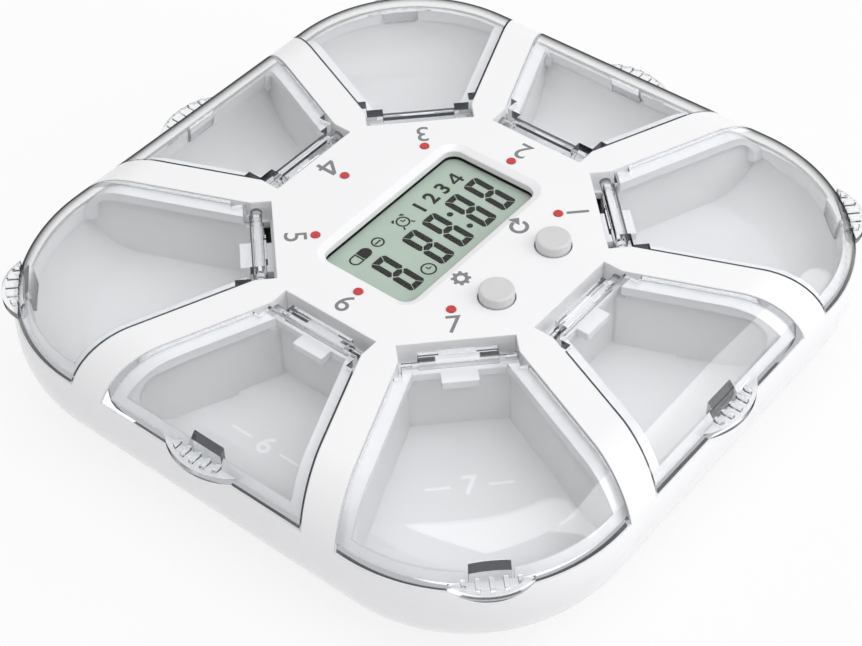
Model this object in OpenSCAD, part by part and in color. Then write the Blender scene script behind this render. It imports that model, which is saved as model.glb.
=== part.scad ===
// Desktop pill organiser with an alarm clock: a rounded-square white housing with
// eight wedge-shaped compartments round an octagonal deck. Each compartment has a
// clear lid hinged beside the deck. The deck carries a liquid crystal clock, two
// push buttons and seven indicator lamps. +Z is up, the feet stand on z = 0, and
// the clock is read from the -Y side.

/* [Body] */
// Half width across the straight sides, at the widest line
body_half = 65.5; // [64.5:0.5:68]
// Distance of each rounded corner's centre from the middle, along X and Y
corner_centre = 32.4; // [31:0.2:34]
// Height of the body from its underside to the deck
body_h = 30; // [29.5:0.5:33]
// Radius of the domed shoulder
top_round = 12; // [11:0.5:12.5]
// Radius of the rounded underside edge
bottom_round = 17.5; // [15:0.5:17.5]
// Wall of the top housing and bottom cover
wall = 2; // [1.8:0.1:2.2]
// Height of the seam above the underside
seam_h = 4.8; // [4.2:0.2:5.4]
// Depth of the tongue that locates the bottom cover
seam_lip = 1.5; // [1:0.1:2]
// Height of the rubber feet below the underside
foot_proud = 0.8; // [0.5:0.1:1.2]

/* [Compartments] */
// Distance of the hinge walls from the middle
deck_inradius = 30; // [29.5:0.5:31]
// Half width of a compartment at its hinge wall
hinge_half = 10.45; // [10:0.05:10.6]
// Half width of the ribs between the compartments
rib_half = 3.35; // [3.1:0.05:3.6]
// Wall of the skirts round each compartment mouth
skirt = 1.3; // [1:0.1:1.5]
// Depth of the rim ledge under the deck
rim_drop = 8.25; // [7.5:0.25:8.5]
// Width of the ledge along the ribs
ledge_w = 2.7; // [2.2:0.1:3.2]
// Thickness of the ledge
ledge_t = 2; // [1.6:0.1:2.2]
// Distance of the mouth's outer edge inside the body's widest line
mouth_inset = 3.9; // [3.7:0.1:4.4]
// Radius of the arch where the side ledge drops to the outer ledge
arch_r = 4; // [3:0.5:4.5]

/* [Pill cups] */
// Wall of a pill cup
cup_wall = 1.3; // [1.1:0.1:1.5]
// Depth of the cup floor under the deck
cup_depth = 18; // [16:0.5:19]
// Radius between the cup floor and its outer wall
cup_round = 10; // [7:0.5:10.5]
// Gap between a cup and the line of the ribs
cup_fit = 0.1; // [0.05:0.05:0.3]
// Distance of the cup's hinge-side face from the middle
cup_back = 33.6; // [33.2:0.1:34]

/* [Lids] */
// Thickness of a lid
lid_t = 1.8; // [1.5:0.1:2]
// Gap between a lid and the ribs beside it
lid_side_gap = 0.35; // [0.25:0.05:0.5]
// Gap between a closed lid and the ledge under it
lid_seat_gap = 0.4; // [0.3:0.05:0.5]
// Distance of the hinge axis from the middle
axis_u = 33; // [32.8:0.1:33.4]
// Depth of the hinge axis under the deck
axis_drop = 2.6; // [2.5:0.05:2.8]
// Diameter of the hinge bar
bar_d = 2.6; // [2.2:0.1:2.8]
// Half length of the hinge bar
bar_half = 7; // [6:0.5:8]
// Diameter of the hinge pins
pin_d = 2; // [1.6:0.1:2.1]
// Radial gap between a hinge pin and its hole
pin_fit = 0.06; // [0.03:0.01:0.1]
// Length of a hinge pin inside its hole
pin_grip = 1.1; // [0.8:0.1:1.2]
// Half width of the middle knuckle on the hinge bar
knuckle_half = 3.3; // [2.8:0.1:3.8]
// Half width of the finger tab
tab_half = 7.6; // [6:0.2:8.4]
// How far the finger tab stands out
tab_out = 2.4; // [2:0.1:3]
// Thickness of the finger tab
tab_t = 1.5; // [1.2:0.1:1.8]
// Half width of the latch hook
hook_half = 3.4; // [3:0.1:4]
// Thickness of the latch hook
hook_t = 1; // [0.8:0.1:1.2]

/* [Hinge seat] */
// Depth of the hinge seat under the deck
seat_drop = 4.5; // [4.4:0.1:4.8]
// Thickness of the hinge seat
seat_t = 1.6; // [1.4:0.1:1.8]
// Length of the hinge seat's keeper tab over the cup
keeper_len = 2.6; // [2:0.2:3]

/* [Clock window] */
// Width of the window
window_w = 38.5; // [37:0.5:39]
// Height of the window
window_h = 20.8; // [20:0.2:21.4]
// Distance of the window's centre behind the middle
window_y = 1.6; // [1:0.1:2]
// Corner radius of the window
window_r = 2.6; // [2:0.2:3]
// Width of the sloping border round the window
bevel_w = 1.5; // [1:0.1:1.6]
// Depth of the sloping border
bevel_drop = 0.7; // [0.5:0.1:0.9]
// Overlap of the lens under the deck
lens_lap = 1.75; // [1.5:0.05:1.9]
// Thickness of the lens
lens_t = 1; // [0.8:0.1:1.2]
// Thickness of the liquid crystal glass
glass_t = 2.2; // [1.8:0.1:2.4]
// Wall of the frame round the liquid crystal glass
frame_w = 0.9; // [0.7:0.1:1]

/* [Buttons] */
// Diameter of a button cap
button_d = 6.5; // [6:0.1:7]
// Gap round a button cap
button_fit = 0.2; // [0.15:0.05:0.3]
// Height of a button cap above the deck
button_proud = 2; // [1.6:0.1:2.4]
// Distance of each button from the centre line
button_x = 8.4; // [8:0.1:9]
// Distance of the buttons in front of the middle
button_y = 20.2; // [19.8:0.1:20.6]
// Travel of a button
button_travel = 0.5; // [0.3:0.05:0.6]
// Width of a tactile switch
switch_w = 6; // [5.6:0.1:6.2]
// Diameter of a switch plunger
plunger_d = 2.6; // [2.2:0.1:3]

/* [Indicator lamps] */
// Gap between the lamps' flanges and the display lens
lamp_gap = 0.1; // [0.05:0.05:0.3]
// Diameter of a lamp window
lamp_d = 1.8; // [1.5:0.1:1.9]

/* [Circuit board] */
// Depth of the board's top under the deck
board_drop = 7; // [6.8:0.1:7.4]
// Thickness of the board
board_t = 1.6; // [1.2:0.1:1.8]
// Gap between the board and the hinge walls
board_fit = 0.4; // [0.3:0.1:0.6]
// Diameter of the board's standoffs
standoff_d = 4.2; // [3.8:0.1:4.4]
// Distance of the standoffs from the X axis
standoff_y = 9.8; // [9:0.1:10.2]

/* [Battery bay] */
// Diameter of a cell
cell_d = 10.5; // [10.3:0.1:10.6]
// Length of a cell without its positive button
cell_len = 43.7; // [43:0.1:44.2]
// Length of the cell's positive button
cell_button = 0.8; // [0.6:0.1:1]
// Room at each end of a cell for its contact
contact_room = 1.6; // [1.4:0.1:2]
// Gap round a cell
cell_fit = 0.25; // [0.2:0.05:0.4]
// Wall of the battery bay
bay_wall = 1.2; // [1:0.1:1.6]
// Thickness of the battery door
door_t = 1.2; // [1:0.1:1.3]
// Gap round the battery door
door_fit = 0.2; // [0.15:0.05:0.3]
// Overlap of the door over the bay's opening
door_lap = 1.6; // [1.4:0.1:2]
// Travel of the battery door before it lifts out
door_travel = 6; // [5:0.5:7]

/* [Fasteners] */
// Distance of the case screws from the middle
screw_ring = 46; // [45:0.5:47]
// Diameter of a case screw's shank
screw_d = 2.2; // [2:0.1:2.4]
// Diameter of a case screw's head
screw_head_d = 4.2; // [3.8:0.1:4.4]
// Diameter of the bosses and sleeves round the screws
boss_d = 6; // [5.6:0.1:6.2]
// Depth of the case posts' lower ends under the deck
post_drop = 12; // [11.5:0.5:12.5]

/* [Hidden] */
$fn = 96;

sector = 45;
half_sector = sector / 2;
base_z = foot_proud;
deck_z = base_z + body_h;
rim_z = deck_z - rim_drop;
seam_z = base_z + seam_h;
far = 2 * body_half;
snug = 0.05;
mouth_half = body_half - mouth_inset;
ledge_drop = lid_t + lid_seat_gap;
side_ledge_z = deck_z - ledge_drop - ledge_t;
outer_ledge_z = rim_z - ledge_t;
seat_z = deck_z - seat_drop;
seat_lap = 0.4;
seat_end = cup_back + seat_lap;
slot_room = 1.1;
slot_end = axis_u + bar_d / 2 + slot_room;
skirt_face = deck_inradius - skirt;
axis_z = deck_z - axis_drop;
lid_edge_z = rim_z + lid_seat_gap;
lid_nose = 1;
knuckle_reach = 1.5;
slot_land = 0.6;
slot_deep = 1.7;
hook_room = 0.4;
hook_swing = 0.2 * ledge_t;
hook_lift = 0.3;
notch_deep = 1.1;
pin_hole_over = 0.3;
pin_hole_half = hinge_half + skirt + pin_hole_over;
corner_clear = 4.5;
ridge_h = 0.8;
ridge_pitch = 2.3;

cup_half = body_half - wall - 2 * cup_fit;
cup_base_z = deck_z - cup_depth - cup_wall;

board_z = deck_z - board_drop;
lens_z = deck_z - wall - lens_t;
glass_gap = 0.1;
glass_z = lens_z - glass_gap - glass_t;
glass_inset = 1;
glass_w = window_w + 2 * lens_lap - glass_inset;
glass_h = window_h + 2 * lens_lap - glass_inset;
frame_fit = 0.1;
zebra_l = window_w;
zebra_w = 1.5;

flange_t = 0.8;
flange_lap = 1;
flange_z = deck_z - wall - snug - flange_t;
plunger_l = 1.9;
plunger_z = flange_z - button_travel - snug - plunger_l;
switch_z = plunger_z + plunger_l - button_travel - 2 * snug;
cap_edge = 0.5;

led_l = 1.2;
led_w = 2;
led_t = 0.8;
lamp_proud = 0.2;
pipe_flange_d = lamp_d + 0.8;
lamp_clear = pipe_flange_d / 2 + lamp_gap;
frame_top = window_y + glass_h / 2 + frame_fit + frame_w;
lamp_ring = max(window_w / 2 + lens_lap + lamp_clear, sqrt(2) * (frame_top + lamp_clear));

standoff_x = glass_w / 2 + frame_fit + frame_w + standoff_d / 2 + snug;
board_screw_d = 1.5;
board_screw_grip = 3;
buzzer_d = 9;
buzzer_h = 4;
buzzer_y = 20.6;
sound_hole_d = 1.3;
chip_w = 8;
chip_t = 1.2;
crystal_d = 2;
capacitor_d = 4;

pad_over = 0.2;
pad_t = 2 * door_t + pad_over;
bay_l = cell_len + cell_button + 2 * contact_room;
bay_w = 2 * cell_d + 3 * cell_fit;
cell_pitch = cell_d + cell_fit;
cell_z = base_z + door_t + snug + cell_fit + cell_d / 2;
bay_top = cell_z + cell_d / 2 + cell_fit + bay_wall;
contact_t = 0.4;
contact_tab_w = 1.6;
tab_gap = 0.2;
door_l = bay_l + 2 * door_lap;
door_w = bay_w + 2 * door_lap;
door_tab = 0.8;
door_tab_l = 4;
door_tab_y = [-6, 7];
groove_l = 20;
groove_w = 1;

post_z = deck_z - post_drop;
post_d = 5;
ring_wall = screw_ring * cos(half_sector);
screw_fit = 0.2;
screw_grip = 6;
screw_sunk = 1.6;
screw_head_t = 1.6;
boss_top = base_z + screw_sunk + screw_head_t + screw_sunk;

foot_d = 10;
foot_sunk = 0.6;
foot_at = 38;

// True for the compartments that lie across a rounded corner
function on_corner(n) = n % 2 == 1;
// Direction of a compartment, counted from the one on +X, which is number 2
function bearing(n) = sector * (n - 2);
// Half width of a compartment at distance u, grown by e
function flare_v(u, e) = (u * sin(half_sector) - rib_half + e) / cos(half_sector);
// Distance at which a compartment starts to flare, grown by e
function flare_u(e) = ((hinge_half + e) * cos(half_sector) + rib_half - e) / sin(half_sector);
// Half width of the domed body at a depth under the deck
function dome_half(drop) =
    body_half - top_round + sqrt(pow(top_round, 2) - pow(top_round - drop, 2));
// Height of the dome, drawn in by d, at a half width
function dome_z(half, d) =
    deck_z - top_round + sqrt(pow(top_round - d, 2) - pow(half - body_half + top_round, 2));
// Distance from the middle of a line drawn at a half width, along a compartment
function reach(n, half) = on_corner(n) ? corner_centre * sqrt(2) + half - corner_centre : half;

// Outline of a compartment seen from above, pointing along +X and grown by e
module pocket_2d(e = 0) {
    u0 = deck_inradius - max(e, 0);
    v0 = hinge_half + e;
    polygon([[u0, -v0], [flare_u(e), -v0], [far, -flare_v(far, e)],
        [far, flare_v(far, e)], [flare_u(e), v0], [u0, v0]]);
}

// The same outline, cut off on the hinge side at u
module pocket_from(e, u) {
    intersection() {
        pocket_2d(e);
        translate([u, -far]) square([far, 2 * far]);
    }
}

// Quarter of a disc, above or below the X axis
module quarter(r, upper) {
    intersection() {
        circle(r = r);
        translate([0, upper ? 0 : -r]) square(r);
    }
}

// Half section of a form with a rounded shoulder and foot
module section(x0, half, z_lo, z_hi, r_lo, r_hi) {
    w = half - corner_centre;
    translate([x0, z_lo]) square([w - r_lo - x0, z_hi - z_lo - r_hi]);
    translate([x0, z_lo + r_lo]) square([w - r_hi - x0, z_hi - z_lo - r_lo]);
    translate([x0, z_lo + r_lo]) square([w - x0, z_hi - z_lo - r_lo - r_hi]);
    if (r_hi > 0) translate([w - r_hi, z_hi - r_hi]) quarter(r_hi, true);
    if (r_lo > 0) translate([w - r_lo, z_lo + r_lo]) quarter(r_lo, false);
}

// The part of such a form along the straight side on +X
module side_form(half, z_lo, z_hi, r_lo, r_hi) {
    translate([corner_centre, corner_centre, 0]) rotate([90, 0, 0])
        linear_extrude(2 * corner_centre) section(-corner_centre, half, z_lo, z_hi, r_lo, r_hi);
}

// The part of such a form at the corner between +X and +Y
module corner_form(half, z_lo, z_hi, r_lo, r_hi) {
    translate([corner_centre, corner_centre, 0])
        rotate_extrude(angle = 90) section(0, half, z_lo, z_hi, r_lo, r_hi);
}

// The whole rounded-square form
module whole_form(half, z_lo, z_hi, r_lo, r_hi) {
    for (k = [0 : 3]) rotate(90 * k) {
        side_form(half, z_lo, z_hi, r_lo, r_hi);
        corner_form(half, z_lo, z_hi, r_lo, r_hi);
    }
}

// The part of the form that compartment n covers, turned so that n points along +X
module local_form(n, half, z_lo, z_hi, r_lo, r_hi) {
    if (on_corner(n)) rotate(-sector) {
        side_form(half, z_lo, z_hi, r_lo, r_hi);
        rotate(90) side_form(half, z_lo, z_hi, r_lo, r_hi);
        corner_form(half, z_lo, z_hi, r_lo, r_hi);
    }
    else side_form(half, z_lo, z_hi, r_lo, r_hi);
}

// The outer body, drawn in by d
module body_form(d) {
    whole_form(body_half - d, base_z + d, deck_z - d, bottom_round - d, top_round - d);
}

module local_body(n, d) {
    local_form(n, body_half - d, base_z + d, deck_z - d, bottom_round - d, top_round - d);
}

// Repeats its children for the eight compartments
module each_pocket() {
    for (n = [1 : 8]) rotate(bearing(n)) children();
}

module rounded_2d(w, h, r) {
    square([w - 2 * r, h], center = true);
    square([w, h - 2 * r], center = true);
    for (x = [-1, 1], y = [-1, 1]) translate([x * (w / 2 - r), y * (h / 2 - r)]) circle(r = r);
}

// A ring of items, the first one on the bearing given
module ring(count, radius, start = 0) {
    for (k = [0 : count - 1]) rotate(start + 360 / count * k) translate([radius, 0, 0]) children();
}

// Space under the side ledge of compartment n, with its arched outer end
module arch_space(n) {
    local_form(n, mouth_half - arch_r / 2, base_z, side_ledge_z, 0, arch_r);
}

// Rounded square that bounds the mouths, turned so that compartment n points along +X
module mouth_plan(n) {
    rotate(on_corner(n) ? -sector : 0) {
        square([2 * corner_centre, 2 * mouth_half], center = true);
        square([2 * mouth_half, 2 * corner_centre], center = true);
        for (x = [-1, 1], y = [-1, 1]) translate([x * corner_centre, y * corner_centre])
            circle(r = mouth_half - corner_centre);
    }
}

// Opening of compartment n through its ledges, with the notch for the latch hook
module mouth_2d(n) {
    intersection() {
        mouth_plan(n);
        pocket_from(-ledge_w, seat_end);
    }
    translate([reach(n, mouth_half) - notch_deep, -hook_half - hook_room])
        square([2 * notch_deep, 2 * (hook_half + hook_room)]);
}

// Ledges of compartment n: under the lid along the ribs, then down to the rim
module ledges(n, z_lo, z_hi) {
    difference() {
        translate([0, 0, z_lo]) linear_extrude(z_hi - z_lo) difference() {
            pocket_from(skirt / 2, slot_end);
            mouth_2d(n);
        }
        arch_space(n);
    }
}

// Seat of the hinge, with the keeper tab over the cup and the slots behind the bar
module hinge_seat() {
    slot_w = hinge_half - knuckle_half - 2 * slot_land;
    translate([0, 0, seat_z - seat_t]) linear_extrude(seat_t) difference() {
        union() {
            translate([skirt_face, -hinge_half - skirt])
                square([seat_end - skirt_face, 2 * (hinge_half + skirt)]);
            translate([seat_end - snug, -knuckle_half]) square([keeper_len, 2 * knuckle_half]);
        }
        for (s = [-1, 1])
            translate([deck_inradius + slot_land, s * (hinge_half + knuckle_half) / 2 - slot_w / 2])
                square([slot_deep, slot_w]);
    }
    // Walls beside and behind the hinge
    translate([0, 0, seat_z - seat_t]) linear_extrude(deck_z - wall / 2 - seat_z + seat_t)
        difference() {
            translate([skirt_face, -hinge_half - skirt])
                square([slot_end + snug - skirt_face, 2 * (hinge_half + skirt)]);
            pocket_2d(0);
        }
}

// Space over the compartments that the closed lids fill
module lid_space() {
    difference() {
        translate([0, 0, rim_z]) linear_extrude(body_h) each_pocket() pocket_2d(0);
        body_form(ledge_drop);
    }
}

// Sloping border of the clock window, widest at the deck
module window_bevel() {
    translate([0, window_y, deck_z - bevel_drop]) {
        for (x = [-1, 1], y = [-1, 1])
            translate([x * (window_w / 2 - window_r), y * (window_h / 2 - window_r), 0])
                cylinder(r1 = window_r, r2 = window_r + bevel_w, h = bevel_drop);
        rotate([90, 0, 0]) linear_extrude(window_h - 2 * window_r, center = true)
            bevel_2d(window_w / 2);
        rotate([90, 0, 90]) linear_extrude(window_w - 2 * window_r, center = true)
            bevel_2d(window_h / 2);
    }
}

module bevel_2d(half) {
    polygon([[-half, 0], [half, 0], [half + bevel_w, bevel_drop], [-half - bevel_w, bevel_drop]]);
}

// Places of the board's four standoffs
module each_standoff() {
    for (x = [-1, 1], y = [-1, 1]) translate([x * standoff_x, y * standoff_y, 0]) children();
}

module each_button() {
    for (x = [-1, 1]) translate([x * button_x, -button_y, 0]) children();
}

// Places of the seven lamps: every compartment but number 8
module each_lamp() {
    for (n = [1 : 7]) rotate(bearing(n)) translate([lamp_ring, 0, 0]) children();
}

// Places of the four case screws, in the ribs
module each_screw() {
    ring(4, screw_ring, half_sector) children();
}

module top_housing() {
    color("white") difference() {
        union() {
            difference() {
                body_form(0);
                body_form(wall);
                translate([-far, -far, -far + seam_z]) cube([2 * far, 2 * far, far]);
                seam_rebate();
                lid_space();
            }
            // Skirts down both sides of each rib
            intersection() {
                body_form(wall / 2);
                translate([0, 0, side_ledge_z]) linear_extrude(body_h) difference() {
                    each_pocket() pocket_2d(skirt);
                    each_pocket() pocket_2d(0);
                }
            }
            intersection() {
                body_form(ledge_drop);
                for (n = [1 : 8]) rotate(bearing(n)) ledges(n, rim_z - 2 * snug, deck_z);
            }
            intersection() {
                body_form(wall / 2 + 2 * snug);
                for (n = [1 : 8]) rotate(bearing(n)) ledges(n, outer_ledge_z, rim_z - snug);
            }
            each_pocket() hinge_seat();
            each_standoff() translate([0, 0, board_z])
                cylinder(d = standoff_d, h = deck_z - wall / 2 - board_z);
            each_screw() translate([0, 0, post_z])
                cylinder(d = post_d, h = deck_z - wall / 2 - post_z);
        }
        each_pocket() translate([axis_u, 0, axis_z]) rotate([90, 0, 0])
            cylinder(d = pin_d + 2 * pin_fit, h = 2 * pin_hole_half, center = true);
        // Clock window, button holes and lamp holes
        translate([0, window_y, deck_z - 2 * wall]) linear_extrude(3 * wall)
            rounded_2d(window_w, window_h, window_r);
        window_bevel();
        each_button() translate([0, 0, deck_z - 2 * wall])
            cylinder(d = button_d + 2 * button_fit, h = 3 * wall);
        each_lamp() translate([0, 0, deck_z - 2 * wall]) cylinder(d = lamp_d, h = 3 * wall);
        // Pilot holes for the board screws and case screws
        each_standoff() translate([0, 0, board_z - snug])
            cylinder(d = board_screw_d + 2 * snug, h = board_screw_grip + 2 * snug);
        each_screw() translate([0, 0, post_z - snug])
            cylinder(d = screw_d + 2 * snug, h = screw_grip + 2 * snug);
    }
}

// Step inside the housing's lower edge that takes the bottom cover's tongue
module seam_rebate() {
    intersection() {
        body_form(wall / 2);
        translate([-far, -far, base_z]) cube([2 * far, 2 * far, seam_h + seam_lip + 2 * snug]);
    }
}

module bottom_cover() {
    color("whitesmoke") difference() {
        union() {
            difference() {
                body_form(0);
                body_form(wall);
                translate([-far, -far, seam_z]) cube([2 * far, 2 * far, far]);
            }
            // Tongue inside the housing
            difference() {
                body_form(wall / 2 + 2 * snug);
                body_form(wall);
                translate([-far, -far, -far + seam_z - snug]) cube([2 * far, 2 * far, far]);
                translate([-far, -far, seam_z + seam_lip]) cube([2 * far, 2 * far, far]);
            }
            // Ring wall that carries the cups
            translate([0, 0, base_z + snug]) linear_extrude(cup_base_z - base_z - snug)
                difference() {
                    octagon(ring_wall + bay_wall / 2);
                    octagon(ring_wall - bay_wall / 2);
                }
            each_screw() translate([0, 0, base_z + snug])
                cylinder(d = boss_d, h = boss_top - base_z - snug);
            // Thick pad and walls of the battery bay
            translate([0, -door_travel / 2, 0])
                bay_block(door_l + 2 * bay_wall, door_w + 2 * bay_wall + door_travel, base_z, pad_t);
            bay_block(bay_l + 2 * bay_wall, bay_w + 2 * bay_wall, base_z, bay_top - base_z);
        }
        // Inside of the bay, open below
        bay_block(bay_l, bay_w, base_z - 1, bay_top - bay_wall - base_z + 1);
        // Recess that the door slides in
        translate([0, -door_travel / 2, 0])
            bay_block(door_l + 2 * door_fit, door_w + 2 * door_fit + door_travel,
                base_z - 1, door_t + snug + 1);
        for (x = [-1, 1], y = door_tab_y) door_slot(x, y);
        contact_tabs(tab_gap);
        // Screw holes, and room for the sleeves through the ring wall
        each_screw() {
            translate([0, 0, base_z - 1])
                cylinder(d = screw_d + 2 * screw_fit, h = body_h);
            translate([0, 0, base_z - 1])
                cylinder(d = screw_head_d + 2 * screw_fit, h = 1 + screw_sunk + screw_head_t);
            translate([0, 0, boss_top]) cylinder(d = boss_d + 2 * snug, h = body_h);
        }
        each_foot() translate([0, 0, base_z - 1]) cylinder(d = foot_d + 2 * snug, h = 1 + foot_sunk);
        // Sound holes under the buzzer
        translate([0, buzzer_y, base_z - 1]) {
            cylinder(d = sound_hole_d, h = wall + 2);
            ring(6, 2 * sound_hole_d) cylinder(d = sound_hole_d, h = wall + 2);
        }
    }
}

// Sleeves on the screws, from the cover's bosses up to the housing's posts
module post_sleeves() {
    color("whitesmoke") each_screw() translate([0, 0, boss_top]) difference() {
        cylinder(d = boss_d, h = post_z - boss_top);
        translate([0, 0, -1]) cylinder(d = screw_d + 2 * screw_fit, h = post_z - boss_top + 2);
    }
}

module octagon(inradius) {
    rotate(half_sector) circle(r = inradius / cos(half_sector), $fn = 8);
}

module bay_block(l, w, z, h) {
    translate([-l / 2, -w / 2, z]) cube([l, w, h]);
}

// Undercut for one of the door's tabs, open below at the end of its travel
module door_slot(x, y) {
    side = x * (door_l / 2 + door_fit);
    deep = door_tab + door_fit;
    x_lo = min(side, side + x * deep);
    y_lo = y - door_travel - door_tab_l / 2 - door_fit;
    translate([x_lo, y_lo, base_z + door_t / 2 - snug])
        cube([deep, door_travel + door_tab_l + 2 * door_fit, door_t / 2 + 2 * snug]);
    translate([x_lo, y_lo, base_z - 1]) cube([deep, door_tab_l + 2 * door_fit, door_t + 1 + snug]);
}

module pill_cup(n) {
    color("gainsboro") rotate(bearing(n)) difference() {
        intersection() {
            cup_form(n, 0);
            translate([0, 0, cup_base_z]) linear_extrude(body_h)
                pocket_from(-cup_fit, cup_back - cup_wall);
            union() {
                arch_space(n);
                translate([0, -far, base_z]) cube([2 * far, 2 * far, outer_ledge_z - base_z]);
            }
        }
        intersection() {
            cup_form(n, cup_wall);
            translate([0, 0, base_z]) linear_extrude(body_h)
                pocket_from(-cup_fit - cup_wall, cup_back);
        }
        // Room for the hinge seat over the cup's back wall
        translate([0, -far, seat_z - seat_t - snug]) cube([slot_end + 2 * snug, 2 * far, body_h]);
    }
}

// Block that a cup is cut from, drawn in by d
module cup_form(n, d) {
    local_form(n, cup_half - d, cup_base_z + d, deck_z, cup_round + cup_wall - d, 0);
}

module lid(n) {
    hook_half_out = mouth_half + notch_deep - hook_room - hook_swing;
    hook_u = reach(n, hook_half_out);
    hook_top = dome_z(hook_half_out, lid_t / 2);
    color("aliceblue", 0.5) rotate(bearing(n)) {
        difference() {
            union() {
                intersection() {
                    difference() {
                        local_body(n, 0);
                        local_body(n, lid_t);
                    }
                    translate([0, 0, lid_edge_z]) linear_extrude(body_h)
                        pocket_from(-lid_side_gap, axis_u - lid_nose);
                }
                // Web between the plate and the hinge bar
                translate([axis_u - lid_nose, -bar_half, axis_z])
                    cube([lid_nose + bar_d / 2, 2 * bar_half, axis_drop - lid_t + snug]);
                translate([axis_u, 0, axis_z]) rotate([90, 0, 0])
                    cylinder(d = bar_d, h = 2 * bar_half, center = true);
                translate([axis_u - knuckle_reach, -knuckle_half, axis_z - knuckle_reach / 2])
                    cube([knuckle_reach, 2 * knuckle_half, knuckle_reach]);
                // Latch hook inside the outer wall
                translate([hook_u - hook_t, -hook_half, outer_ledge_z + hook_lift])
                    cube([hook_t, 2 * hook_half, hook_top - outer_ledge_z - hook_lift]);
                finger_tab(n);
            }
            // Corners cut back from the hinge pins and from the walls they swing past
            lid_corners(bar_half, axis_u - 2 * lid_nose, axis_u + bar_d / 2 + lid_side_gap);
            lid_corners(hinge_half - lid_side_gap, axis_u, axis_u + corner_clear);
        }
        translate([axis_u, 0, axis_z]) rotate([90, 0, 0])
            cylinder(d = pin_d, h = 2 * (hinge_half + pin_grip), center = true);
    }
}

// Space outside a half width, between two distances from the middle
module lid_corners(half, u_lo, u_hi) {
    for (s = [-1, 1]) translate([u_lo, s > 0 ? half : -far - half, axis_z])
        cube([u_hi - u_lo, far, 2 * axis_drop]);
}

// Crescent grip at the lid's outer edge, with its ridges
module finger_tab(n) {
    edge = dome_half(deck_z - lid_edge_z);
    edge_u = reach(n, edge);
    bend = on_corner(n) ? 1 / (edge - corner_centre) : 0;
    r = 1 / (2 * tab_out / (pow(tab_half, 2) + pow(tab_out, 2)) + bend);
    translate([0, 0, lid_edge_z]) {
        linear_extrude(tab_t) tab_2d(edge_u, r, 0);
        linear_extrude(tab_t + ridge_h) intersection() {
            tab_2d(edge_u, r, ridge_h);
            for (k = [-2 : 2]) translate([edge_u - lid_t, k * ridge_pitch - ridge_h / 2])
                square([2 * tab_out + lid_t, ridge_h]);
        }
    }
}

module tab_2d(edge_u, r, inset) {
    intersection() {
        translate([edge_u + tab_out - r, 0]) circle(r = r - inset);
        translate([edge_u - lid_t / 2, -far]) square([far, 2 * far]);
    }
}

module display_lens() {
    color("lightcyan", 0.4) translate([0, window_y, lens_z]) linear_extrude(lens_t)
        rounded_2d(window_w + 2 * lens_lap, window_h + 2 * lens_lap, window_r);
}

module lcd_glass() {
    color("darkseagreen") translate([-glass_w / 2, window_y - glass_h / 2, glass_z])
        cube([glass_w, glass_h, glass_t]);
}

module lcd_frame() {
    grow = 2 * (frame_w + frame_fit);
    color("dimgray") translate([0, window_y, board_z]) linear_extrude(lens_z - board_z) difference() {
        square([glass_w + grow, glass_h + grow], center = true);
        square([glass_w + 2 * frame_fit, glass_h + 2 * frame_fit], center = true);
    }
}

module zebra_strips() {
    color("hotpink") for (s = [-1, 1])
        translate([-zebra_l / 2, window_y + s * (glass_h / 2 - zebra_w) - zebra_w / 2, board_z])
            cube([zebra_l, zebra_w, glass_z - board_z]);
}

module circuit_board() {
    color("darkgreen") difference() {
        translate([0, 0, board_z - board_t]) linear_extrude(board_t) octagon(skirt_face - board_fit);
        each_standoff() translate([0, 0, board_z - board_t - 1])
            cylinder(d = board_screw_d + 2 * screw_fit, h = board_t + 2);
    }
}

module board_screws() {
    color("silver") each_standoff() {
        translate([0, 0, board_z - board_t - board_screw_d / 2])
            cylinder(d = 2 * board_screw_d, h = board_screw_d / 2);
        translate([0, 0, board_z - board_t])
            cylinder(d = board_screw_d, h = board_t + board_screw_grip);
    }
}

module tact_switches() {
    color("black") each_button() difference() {
        translate([-switch_w / 2, -switch_w / 2, board_z])
            cube([switch_w, switch_w, switch_z - board_z]);
        translate([0, 0, plunger_z - button_travel - 2 * snug])
            cylinder(d = plunger_d + 2 * snug, h = plunger_l + body_h);
    }
}

module plunger(side) {
    color("dimgray") translate([side * button_x, -button_y, plunger_z])
        cylinder(d = plunger_d, h = plunger_l);
}

// A round cap with a flange under the deck and a stem on the plunger
module button_cap(side) {
    stem_z = plunger_z + plunger_l;
    top = deck_z + button_proud;
    r = button_d / 2;
    color("lightgray") translate([side * button_x, -button_y, 0]) {
        rotate_extrude() {
            translate([0, stem_z]) square([plunger_d / 2, flange_z - stem_z + snug]);
            translate([0, flange_z]) square([r + flange_lap, flange_t]);
            translate([0, flange_z]) square([r, top - cap_edge - flange_z]);
            translate([0, flange_z]) square([r - cap_edge, top - flange_z]);
            translate([r - cap_edge, top - cap_edge]) quarter(cap_edge, true);
        }
    }
}

module indicator_leds() {
    color("red") each_lamp() translate([-led_l / 2, -led_w / 2, board_z])
        cube([led_l, led_w, led_t]);
}

module light_pipes() {
    pipe_z = board_z + led_t + 2 * snug;
    color("red", 0.6) each_lamp() {
        translate([0, 0, pipe_z]) cylinder(d = led_l, h = deck_z - pipe_z);
        translate([0, 0, deck_z - wall - flange_t]) cylinder(d = pipe_flange_d, h = flange_t);
        translate([0, 0, deck_z - wall - snug])
            cylinder(d = lamp_d - 2 * snug, h = wall + snug + lamp_proud);
    }
}

module buzzer() {
    color("black") translate([0, buzzer_y, board_z - board_t - buzzer_h]) difference() {
        cylinder(d = buzzer_d, h = buzzer_h);
        translate([0, 0, -1]) cylinder(d = sound_hole_d, h = buzzer_h / 2 + 1);
    }
}

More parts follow.
